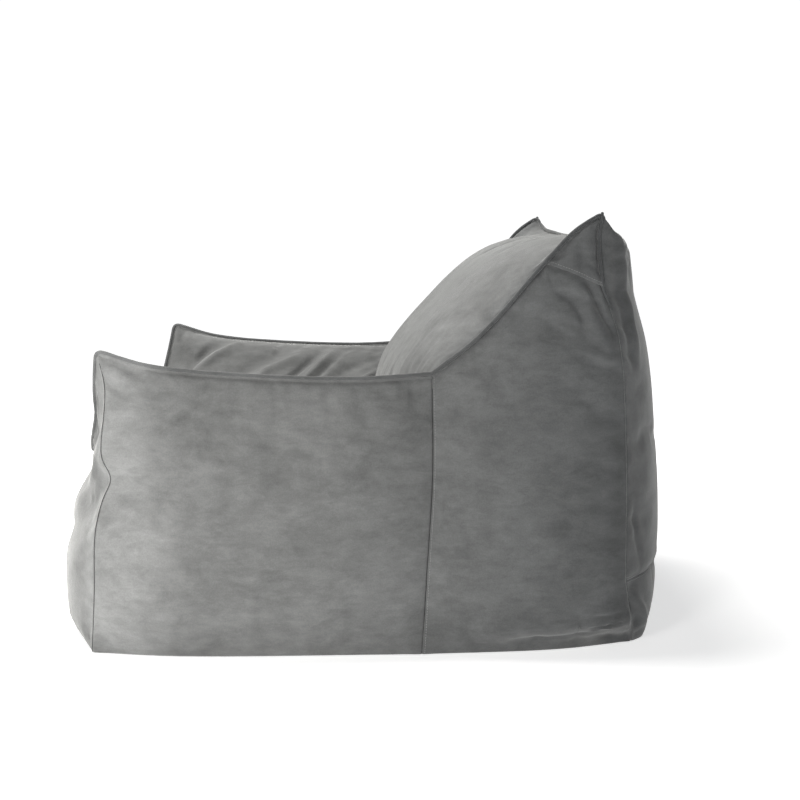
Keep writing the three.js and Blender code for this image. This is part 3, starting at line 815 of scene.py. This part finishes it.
def painted_light_and_shade(f):
    """Painted light and shade, as a colour: a painted highlight on the sides near the front, and painted
    shade behind, at the back corners and inside the arms.
    """
    axes = f.add("SeparateXYZ", Vector=f.place).outputs
    wander = f.cloud(7.0, 4.0, (1, 1, 0.8), 0.6)

    def math(kind, one, other):
        node = f.tree.nodes.new("ShaderNodeMath")
        node.operation = kind
        for socket, value in zip(node.inputs, (one, other)):
            if isinstance(value, bpy.types.NodeSocket):
                f.tree.links.new(value, socket)
            else:
                socket.default_value = value
        return node.outputs["Value"]

    def rising(value, low, high):
        return f.add("MapRange", Value=value, From_Min=low, From_Max=high).outputs["Result"]

    edge = math("ADD", axes["Y"], math("MULTIPLY", wander, 0.14))
    aside = math("ABSOLUTE", axes["X"], 0)
    outer = rising(aside, 0.385, 0.415)
    forward = math("MULTIPLY", rising(edge, -0.235, -0.315), outer)
    # painted highlight: the outer sides lighter near the front
    lighter = f.ramp(forward, (0.0, (1.0,)), (1.0, (1.42,)))
    corner = math("MULTIPLY", rising(aside, 0.28, 0.36), rising(axes["Y"], 0.43, 0.46))
    rearward = math("MULTIPLY", rising(edge, 0.02, 0.50), math("MAXIMUM", outer, corner))
    # painted shade: the outer sides and the back corners darker towards the rear
    rear = f.ramp(rearward, (0.0, (1.0,)), (1.0, (0.72, 0.73, 0.745)))
    # painted shade inside the arms
    inside = math("MULTIPLY", math("MULTIPLY", rising(aside, 0.28, 0.31), rising(aside, 0.412, 0.40)),
                  math("MULTIPLY", rising(axes["Z"], 0.37, 0.39), rising(axes["Y"], -0.455, -0.435)))
    inner = f.ramp(math("MULTIPLY", inside, rising(axes["Y"], 0.12, 0.08)), (0.0, (1.0,)), (1.0, (0.74,)))
    # painted shade at the back corners
    behind = f.ramp(corner, (0.0, (1.0,)), (1.0, (0.82,)))
    return f.multiply(f.multiply(f.multiply(lighter, rear), inner), behind)


def velvet_material(name, color, sheen):
    """Short pile, lighter or darker in patches and strokes where it has been brushed, with painted light and
    shade laid over it by place on the chair.
    """
    f = Finish(name, Sheen_Weight=sheen, Sheen_Roughness=0.38, Sheen_Tint=(0.95, 0.95, 0.93, 1),
               Specular_IOR_Level=0.1)
    tint = f.ramp(f.cloud(3.2, 3.0, (1, 1, 1.1), 0.55, 0.6), (0.30, [c * 0.94 for c in color]),
                  (0.70, [c * 1.07 for c in color]))
    nap = f.ramp(f.cloud(11.0, 6.0, (1, 0.8, 1.2), 0.68, 0.5), (0.33, (0.80,)), (0.50, (0.97,)),
                 (0.70, (1.13,)))
    strokes = f.ramp(f.cloud(42.0, 5.0, (1, 0.6, 1.5), 0.7, 0.3), (0.35, (0.88,)), (0.65, (1.09,)))
    fibres = f.ramp(f.cloud(420.0, 2.0, (1, 1, 1), 0.6), (0.35, (0.93,)), (0.65, (1.06,)))
    shade = f.multiply(f.multiply(f.multiply(tint, nap), strokes), fibres)
    # painted light and shade, laid over the pile's own patches and strokes
    shade = f.multiply(shade, painted_light_and_shade(f))
    pile = f.bump(f.cloud(1100.0, 2.0), 0.0005, 0.30)
    pressed = f.bump(f.cloud(24.0, 4.0, (1, 0.7, 1.4), 0.6, 0.3), 0.003, 0.32, pile)
    rough = f.ramp(f.cloud(14.0, 3.0), (0.3, (0.74,)), (0.7, (0.92,)))
    return f.use(shade, pressed, rough)


VELVET = velvet_material("velvet", (0.152, 0.154, 0.152), 0.5)
# a darker copy of the velvet for the piping: painted shade along the cords
PIPING = velvet_material("velvet_piping", (0.105, 0.107, 0.107), 0.5)


def thread_material():
    f = Finish("thread", Roughness=0.6, Sheen_Weight=0.3)
    return f.use(f.ramp(f.cloud(900.0), (0.3, (0.17, 0.172, 0.17)), (0.7, (0.27, 0.272, 0.27))),
                 f.bump(f.cloud(2500.0, stretch=(1, 1, 3)), 0.0002, 0.5))


def cloth_material(name, dark, light, pitch, sheen=0.1, roughness=0.9):
    """A plain weave, its threads crossing along x and across it."""
    f = Finish(name, Roughness=roughness, Sheen_Weight=sheen)
    warp = f.add("TexWave", Vector=f.place, Scale=pitch, Distortion=0.4, Detail=1.0)
    weft = f.add("TexWave", Vector=f.place, Scale=pitch, Distortion=0.4, Detail=1.0)
    warp.bands_direction, weft.bands_direction = "X", "Y"
    both = f.multiply(warp.outputs["Color"], weft.outputs["Color"])
    worn = f.ramp(f.cloud(16.0, 4.0), (0.3, dark), (0.7, light))
    return f.use(f.multiply(worn, f.ramp(both, (0.0, (0.8,)), (1.0, (1.05,)))), f.bump(both, 0.0004, 0.6))


THREAD = thread_material()
# dark velvet without sheen for the cords in the plain seams: painted shadow
PAINTED_SEAM_SHADOW = velvet_material("seam_shadow_velvet", (0.05, 0.051, 0.051), 0.0)
BASE_CLOTH = cloth_material("base_cloth", (0.028, 0.029, 0.031), (0.046, 0.047, 0.05), 260)
LINER_CLOTH = cloth_material("liner_cloth", (0.62, 0.60, 0.55), (0.76, 0.74, 0.69), 420)
ZIP_TAPE = cloth_material("zip_tape", (0.075, 0.078, 0.082), (0.11, 0.114, 0.12), 700)


def bead_material():
    f = Finish("beads", Roughness=0.6)
    grains = f.add("TexVoronoi", Vector=f.place, Scale=260.0).outputs["Distance"]
    white = f.ramp(grains, (0.0, (0.9, 0.9, 0.88)), (0.6, (0.66, 0.66, 0.64)))
    return f.use(white, f.bump(grains, 0.002, 0.8))


def coil_material():
    f = Finish("zip_coil", Roughness=0.42)
    return f.use(f.ramp(f.cloud(300.0), (0.3, (0.04, 0.044, 0.048)), (0.7, (0.07, 0.075, 0.08))),
                 f.bump(f.cloud(1800.0), 0.0001, 0.4))


def metal_material():
    f = Finish("zip_metal", Metallic=1.0)
    return f.use(f.ramp(f.cloud(90.0, 4.0), (0.3, (0.36, 0.37, 0.38)), (0.7, (0.50, 0.51, 0.52))),
                 f.bump(f.cloud(700.0, 2.0, (1, 6, 1)), 0.0001, 0.4),
                 f.ramp(f.cloud(220.0, 3.0), (0.3, (0.22,)), (0.7, (0.42,))))


BEADS, COIL, METAL = bead_material(), coil_material(), metal_material()


def finish_piece(obj, material, *replaced, slot, body=BODY):
    """Gives a piece its material and the body that it rides on, and hides the CAD nodes that it stands for.
    slot is not used.
    """
    obj.data.materials.append(material)
    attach(obj, body)
    if replaced:
        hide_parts(*replaced)
    return obj


for name, panel in panels.items():
    piece = thick_mesh(name + "_cloth", finished[name], panel.facing)
    finish_piece(piece, VELVET, name, slot="velvet")


# ---- piping ----

def tube(path, radius, sides=12):
    """Points and faces of a cord along a path, with closed ends. Its radius may vary along the path."""
    path = np.asarray(path, float)
    radius = np.broadcast_to(radius, len(path))
    tangent = np.gradient(path, axis=0)
    tangent /= np.maximum(np.linalg.norm(tangent, axis=1, keepdims=True), 1e-12)
    side = np.cross(tangent[0], [0.1, 0.2, 1.0])
    frames = []
    for direction in tangent:
        side = side - direction * (side @ direction)
        side = side / np.linalg.norm(side)
        frames.append((side, np.cross(direction, side)))
    rights, ups = (np.array(v) for v in zip(*frames))
    angle = np.arange(sides) * 2 * math.pi / sides
    ring = np.cos(angle)[None, :, None] * rights[:, None] + np.sin(angle)[None, :, None] * ups[:, None]
    points = (path[:, None] + ring * radius[:, None, None]).reshape(-1, 3)
    index = np.arange(len(path) * sides).reshape(len(path), sides)
    around = np.roll(index, -1, axis=1)
    quads = np.stack([index[:-1], around[:-1], around[1:], index[1:]], -1).reshape(-1, 4)
    tips = [path[0] - tangent[0] * radius[0] * 0.6, path[-1] + tangent[-1] * radius[-1] * 0.6]
    caps = [(len(points), b, a) for a, b in zip(index[0], around[0])]
    caps += [(len(points) + 1, a, b) for a, b in zip(index[-1], around[-1])]
    return np.vstack([points, tips]), [tuple(q) for q in quads] + caps


def merged(name, parts):
    """One object from several (points, faces) parts."""
    points, faces, start = [], [], 0
    for p, f in parts:
        points.append(p)
        faces += [tuple(start + int(i) for i in face) for face in f]
        start += len(p)
    return mesh_object(name, np.vstack(points), faces)


def outward(points):
    """The directions out of the cover at a seam's points, evened from one to the next."""
    out = between(points)
    for _ in range(6):
        out[1:-1] = (out[:-2] + 2 * out[1:-1] + out[2:]) / 4
    return unit(out)


def seam_path(curve, out=2.6 * MM):
    """Points along a seam, some way out of the cover."""
    fine = curve(np.linspace(0, 1, 500))
    along = path_lengths(fine)
    path = at_lengths(np.linspace(0, along[-1], int(along[-1] / PATH_PITCH)), along, fine)
    return path + outward(path) * out * (1 - 0.75 * ear_share(path))[:, None]


def rounded(one, other, reach):
    """Two paths from the same tip, with the tip between them rounded."""
    whole = np.vstack([one[::-1], other[1:]])
    middle = len(one) - 1
    near = near_to(whole, whole[middle], reach)[:, None]
    for _ in range(14):
        smooth = whole.copy()
        smooth[1:-1] = (whole[:-2] + whole[2:]) / 2
        whole = whole + (smooth - whole) * near * 0.8
    return whole[:middle + 1][::-1], whole[middle:]


def first_half(path):
    return path[:len(path) // 2 + 1]


def both_halves(half):
    """A path from side to side, from its left half."""
    return np.vstack([half, (half * SIDES["right"])[::-1][1:]])


def cord_object(name, path, radius=PIPING_R):
    lumps = 1 + 0.05 * noise(path, 16 * MM, 5)
    return mesh_object(name, *tube(path, radius * lumps))


side_path = seam_path(joined((arm_top, CELLS["arm"]), (slope, CELLS["slope"] + CELLS["high"])))
half_front, side_path = rounded(first_half(seam_path(front_top, 2.1 * MM)), side_path, 13 * MM)
side_back, half_back = rounded(side_path[::-1], first_half(seam_path(back_top)), 8 * MM)
side_path = side_back[::-1]
corner_path = seam_path(joined((rear_corner_high, CELLS["high"]), (rear_corner, above_zip)), 2.2 * MM)
corner_path = corner_path[:int(REAR_PIPING / PATH_PITCH)]
fading = np.clip(np.linspace(5.0, 0.0, len(corner_path)), 0.12, 1)

for side, flip in SIDES.items():
    piece = cord_object(f"side_piping_{side}_cord", leaning(side_path * flip))
    finish_piece(piece, PIPING, f"side_piping_{side}", slot="velvet_piping")
    piece = cord_object(f"rear_corner_piping_{side}_cord", leaning(corner_path * flip), 2.9 * MM * fading)
    finish_piece(piece, PIPING, f"rear_corner_piping_{side}", slot="velvet_piping")
for name, half in (("front_piping", half_front), ("back_top_piping", half_back)):
    finish_piece(cord_object(name + "_cord", leaning(both_halves(half))), PIPING, name, slot="velvet_piping")


# ---- plain seams: a thin dark cord sunk in the groove between two panels, painted shadow for the shade in the seam ----

SEAM_SHADOW_LINES = {"front_corner": (front_corner, 0.65 * MM), "side": (side_seam, 0.4 * MM)}
for name, (curve, radius) in SEAM_SHADOW_LINES.items():
    path = seam_path(curve, -0.8 * MM)[8:]
    for side, flip in SIDES.items():
        piece = mesh_object(f"{name}_seam_{side}", *tube(leaning(ear_pull(path) * flip), radius, 8))
        finish_piece(piece, PAINTED_SEAM_SHADOW, slot="velvet")


# ---- stitching ----

def line_beside(grid, edge, distance, facing):
    """The line on a panel at a distance from one of its edges, with the cloth's outward directions."""
    normal = normals_of(grid, facing)
    if edge in ("left", "right"):
        grid, normal = np.swapaxes(grid, 0, 1), np.swapaxes(normal, 0, 1)
    if edge in ("top", "right"):
        grid, normal = grid[::-1], normal[::-1]
    away = run_lengths(grid, 0)
    return [np.stack([at_lengths(distance, away[:, i], values[:, i]) for i in range(grid.shape[1])])
            for values in (grid, normal)]


def stitches(name, line, normal, length=3.4 * MM, gap=1.5 * MM, radius=0.42 * MM):
    """A row of stitches along a line, each sinking into the cloth at its ends."""
    along = path_lengths(line)
    lift = np.array([-0.5, 0.15, 0.3, 0.15, -0.5])[:, None] * MM
    parts = []
    for start in np.arange(gap, along[-1] - length, length + gap):
        at = start + np.linspace(0, 1, len(lift)) * length
        path = at_lengths(at, along, line) + at_lengths(at, along, normal) * lift
        parts.append(tube(path, radius, 6))
    finish_piece(merged(name, parts), THREAD, slot="velvet")


for side in SIDES:
    rear_side, yoke = f"rear_side_panel_{side}", f"corner_yoke_{side}"
    facing = panels[yoke].facing
    stitches(f"side_seam_stitches_{side}", *line_beside(finished[rear_side], "left", 5 * MM, facing))
    stitches(f"yoke_stitches_{side}", *line_beside(finished[yoke], "bottom", 6 * MM, facing))
for name, edge in (("back_panel", "bottom"), ("back_lower_panel", "top")):
    stitches(name + "_stitches", *line_beside(finished[name], edge, 5 * MM, 1))


# ---- the zip ----

def coil(name, pitch=2.0 * MM, wire=0.36 * MM):
    """A row of nylon teeth: a flattened spiral along the tape's edge."""
    low, high = (np.array(v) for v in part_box(name))
    middle, half = (low + high) / 2, (high - low) / 2 - 0.35 * MM
    turns = int((high[0] - low[0]) / pitch)
    t = np.linspace(0, turns, turns * 10)
    x = low[0] + 0.5 * MM + t / turns * (high[0] - low[0] - 1 * MM)
    angle = t * 2 * math.pi
    path = np.stack([x, middle[1] + half[1] * np.cos(angle), middle[2] + half[2] * np.sin(angle)], -1)
    finish_piece(mesh_object(name + "_teeth", *tube(path, wire, 6)), COIL, name, slot="zip_coil")


for name in ("zip_coil_upper", "zip_coil_lower"):
    coil(name)


def rounded_block(low, high, bevel=0.35 * MM, segments=3):
    """Points and faces of a box with rounded edges."""
    mesh = bpy.data.meshes.new("block")
    obj = bpy.data.objects.new("block", mesh)
    bpy.context.scene.collection.objects.link(obj)
    corners = [(x, y, z) for x in (low[0], high[0]) for y in (low[1], high[1]) for z in (low[2], high[2])]
    mesh.from_pydata(corners, [], [(0, 1, 3, 2), (4, 6, 7, 5), (0, 4, 5, 1), (2, 3, 7, 6), (0, 2, 6, 4),
                                   (1, 5, 7, 3)])
    modifier = obj.modifiers.new("bevel", "BEVEL")
    modifier.width, modifier.segments = bevel, segments
    done = obj.evaluated_get(bpy.context.evaluated_depsgraph_get()).to_mesh()
    out = np.array([v.co[:] for v in done.vertices]), [tuple(p.vertices) for p in done.polygons]
    bpy.data.objects.remove(obj)
    return out


def slider():
    """Two plates with a web between them, and a pull of two bars that hangs from a ring."""
    low, high = (np.array(v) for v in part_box("zip_slider"))
    middle, plate = (low + high) / 2, 1.2 * MM
    ring = [(middle[0] + 3.4 * MM * math.cos(a), high[1] + 0.2 * MM + 2.3 * MM * math.sin(a), middle[2])
            for a in np.linspace(0, math.pi, 12)]
    pull_top, pull_foot = middle[2] - 0.5 * MM, middle[2] - 30 * MM
    y0, y1 = high[1] + 1.2 * MM, high[1] + 2.3 * MM
    x0, x1 = middle[0] - 3.2 * MM, middle[0] + 3.2 * MM
    web = np.array([4.8 * MM, (high[1] - low[1]) / 2 - 0.6 * MM, 0.45 * MM])
    return [rounded_block(low, (high[0], low[1] + plate, high[2])),
            rounded_block((low[0], high[1] - plate, low[2]), high),
            rounded_block(middle - web, middle + web, 0.2 * MM),
            tube(ring, 0.8 * MM, 10),
            rounded_block((x0, y0, pull_foot), (x0 + 1.7 * MM, y1, pull_top)),
            rounded_block((x1 - 1.7 * MM, y0, pull_foot), (x1, y1, pull_top)),
            rounded_block((x0, y0, pull_foot), (x1, y1, pull_foot + 12 * MM)),
            rounded_block((x0, y0, pull_top - 1.6 * MM), (x1, y1, pull_top))]


piece = merged("zip_slider_and_pull", slider())
finish_piece(piece, METAL, "zip_slider", body="zip_slider", slot="zip_metal")
for name in ("zip_stop_closed", "zip_stop_open"):
    low, high = (np.array(v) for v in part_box(name))
    finish_piece(merged(name + "_piece", [rounded_block(low, high)]), METAL, name, slot="zip_metal")


# ---- pieces that keep their CAD shape ----

LOWEST = 8 * MM                # of the fill and the liner
FOLD_CEILING = 280 * MM        # of the fill under the fold between the seat and the backrest


def keeps(node, material):
    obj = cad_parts[node]
    obj.data.materials.clear()
    obj.data.materials.append(material)


for node in ("liner_closure", "zip_tape_upper", "zip_tape_lower"):
    keeps(node, ZIP_TAPE)


def inset(node, name, share):
    """A copy of a CAD solid, smaller all round so that it stays clear of the sunk seams.

    A thin wall keeps its thickness, and what lies under the backrest stays below the fold there.
    """
    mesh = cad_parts[node].data.copy()
    points = np.array([v.co[:] for v in mesh.vertices])
    scale = np.where(np.ptp(points, axis=0) < 5 * MM, 1.0, share)
    middle = points.mean(axis=0)
    points = middle + (points - middle) * scale
    under_backrest = FOLD_CEILING + 0.95 * np.maximum(points[:, 1] - 30 * MM, 0)
    ceiling = np.where(points[:, 1] > -20 * MM, under_backrest, BACK_Z)
    points[:, 2] = np.clip(points[:, 2], LOWEST, ceiling)
    for vertex, point in zip(mesh.vertices, points):
        vertex.co = point
    mesh.materials.clear()
    obj = bpy.data.objects.new(node + name, mesh)
    bpy.context.scene.collection.objects.link(obj)
    return obj


for node in ("seat_beads", "arm_beads_left", "arm_beads_right", "back_beads"):
    piece = finish_piece(inset(node, "_fill", 0.9), BEADS, node, slot="beads")
for node in ("back_baffle", "arm_baffle_left", "arm_baffle_right"):
    finish_piece(inset(node, "_wall", 0.86), LINER_CLOTH, node, slot="liner_cloth")


def base():
    """The flat cloth under the chair, a little way inside the cover's lowest edge."""
    share = np.linspace(0, 1, 60)
    side = np.vstack([foot_front_side(share), foot_rear_side(share)])
    ring = np.vstack([foot_front(share)[::-1], side, foot_back(share), (side * SIDES["right"])[::-1]])
    ring = ring[np.linalg.norm(ring - np.roll(ring, 1, axis=0), axis=1) > 1 * MM]
    middle = ring.mean(axis=0) * [1, 1, 0]
    section = ((0.1, 3.2), (0.5, 3.2), (0.984, 3.2), (0.986, 2.2),
               (0.986, 0.9), (0.984, 0), (0.5, 0), (0.1, 0))
    rings = [(middle + (ring - middle) * kept) * [1, 1, 0] + [0, 0, z * MM] for kept, z in section]
    index = np.arange(len(rings) * len(ring)).reshape(len(rings), len(ring))
    ahead = np.roll(index, -1, axis=1)
    faces = np.stack([index[:-1], index[1:], ahead[1:], ahead[:-1]], -1).reshape(-1, 4).tolist()
    faces += [index[0].tolist(), index[-1][::-1].tolist()]
    return mesh_object("base_panel_cloth", np.vstack(rings), faces)


finish_piece(base(), BASE_CLOTH, "base_panel", slot="base_cloth")


def liner():
    """The liner: a skin a little inside the whole cover, deeper under its seams and pointed corners."""
    parts = []
    for name, panel in panels.items():
        s, t = (np.linspace(0, 1, 3 * c + 1) for c in panel.size)
        grid = panel.surface(s, t)
        rows, columns = grid.shape[:2]
        out = normals_of(grid, panel.facing).reshape(-1, 3)
        grid = grid.reshape(-1, 3)
        near = bell(np.array([tree.find(p)[2] for p in grid]), 40 * MM)[:, None]
        out = unit(out * (1 - near) + between(grid) * near)
        under = grid - out * (18 + 8 * near) * MM
        for ear, into, _ in EARS:
            for flip in SIDES.values():
                under += near_to(grid, ear * flip, 90 * MM)[:, None] * into * flip * 70 * MM
        under = leaning(under)
        under[:, 2] = np.maximum(under[:, 2], LOWEST)
        parts.append((under, grid_faces(rows, columns, panel.facing)))
    return merged("liner_skin", parts)


finish_piece(liner(), LINER_CLOTH, "liner", slot="liner_cloth")


# ---- floor, light and camera ----

scene = bpy.context.scene
scene.view_settings.view_transform = "Standard"

FLOOR = 40                     # half of its side


def pale_floor():
    """Pale and glowing, its glow painted light, a little brighter away from the chair."""
    f = Finish("pale_floor", Roughness=0.9)
    f.bsdf.inputs["Emission Color"].default_value = (1, 1, 1, 1)
    away = f.add("VectorMath")
    away.operation = "LENGTH"
    f.tree.links.new(f.place, away.inputs[0])
    # painted light: the floor's glow, weaker near the chair and stronger far from it
    glow = f.add("MapRange", Value=away.outputs["Value"], From_Min=1.3, From_Max=2.3, To_Min=0.60,
                 To_Max=0.95)
    f.tree.links.new(glow.outputs["Result"], f.bsdf.inputs["Emission Strength"])
    return f.use(f.ramp(f.cloud(2.0), (0.3, (0.84, 0.84, 0.84)), (0.7, (0.86, 0.86, 0.86))))


corners = [(-FLOOR, -FLOOR, 0), (FLOOR, -FLOOR, 0), (FLOOR, FLOOR, 0), (-FLOOR, FLOOR, 0)]
floor = mesh_object("floor", corners, [(0, 1, 2, 3)], smooth=False)
floor.location.z = cad_bounds[0][2]
floor.data.materials.append(pale_floor())


def studio_world():
    """A dim sky for the light, seen by the camera as white."""
    world = bpy.data.worlds.new("studio")
    world.use_nodes = True
    links, nodes = world.node_tree.links, world.node_tree.nodes
    ambient, seen = nodes["Background"], nodes.new("ShaderNodeBackground")
    for node, color, strength in ((ambient, (0.93, 0.96, 1.0, 1), 0.15), (seen, (1, 1, 1, 1), 1.05)):
        node.inputs["Color"].default_value = color
        node.inputs["Strength"].default_value = strength
    either = nodes.new("ShaderNodeMixShader")
    links.new(nodes.new("ShaderNodeLightPath").outputs["Is Camera Ray"], either.inputs["Fac"])
    for k, node in ((1, ambient), (2, seen)):
        links.new(node.outputs["Background"], either.inputs[k])
    links.new(either.outputs["Shader"], nodes["World Output"].inputs["Surface"])
    return world


scene.world = studio_world()


def area_light(name, place, target, size, power, color=(1, 1, 1), spread=180):
    light = bpy.data.lights.new(name, "AREA")
    light.shape, light.size, light.energy, light.color = "DISK", size, power, color
    light.spread = math.radians(spread)
    obj = bpy.data.objects.new(name, light)
    scene.collection.objects.link(obj)
    obj.location = place
    obj.rotation_euler = (Vector(target) - Vector(place)).to_track_quat("-Z", "Y").to_euler()


area_light("key", (2.75, -1.2, 1.1), (0.42, -0.60, 0.30), 0.8, 8.0, (1.0, 0.985, 0.96), spread=60)
area_light("wide", (3.5, -1.4, 2.6), (0.3, 0, 0.3), 2.0, 3.7, (1.0, 0.99, 0.97))
area_light("top", (-0.3, -0.9, 3.2), (0, 0, 0.4), 2.0, 142, (1.0, 0.99, 0.97))

CAMERA_X, CAMERA_Z = 2.89, 0.725
SENSOR = 36
FOCAL_SHARE = 1.77             # focal length over the sensor's width
TURN, DOWN = 1.42, 3.3         # degrees towards the back, and down
SHIFT = -0.0925                # of the lens, down

camera = bpy.data.cameras.new("camera")
camera.sensor_width = SENSOR
camera.lens = FOCAL_SHARE * SENSOR
camera.shift_y = SHIFT
eye = bpy.data.objects.new("camera", camera)
scene.collection.objects.link(eye)
eye.location = (CAMERA_X, SHIFT_Y, CAMERA_Z)
aim = Vector((-1, math.tan(math.radians(TURN)), -math.tan(math.radians(DOWN))))
eye.rotation_euler = aim.to_track_quat("-Z", "Y").to_euler()
scene.camera = eye
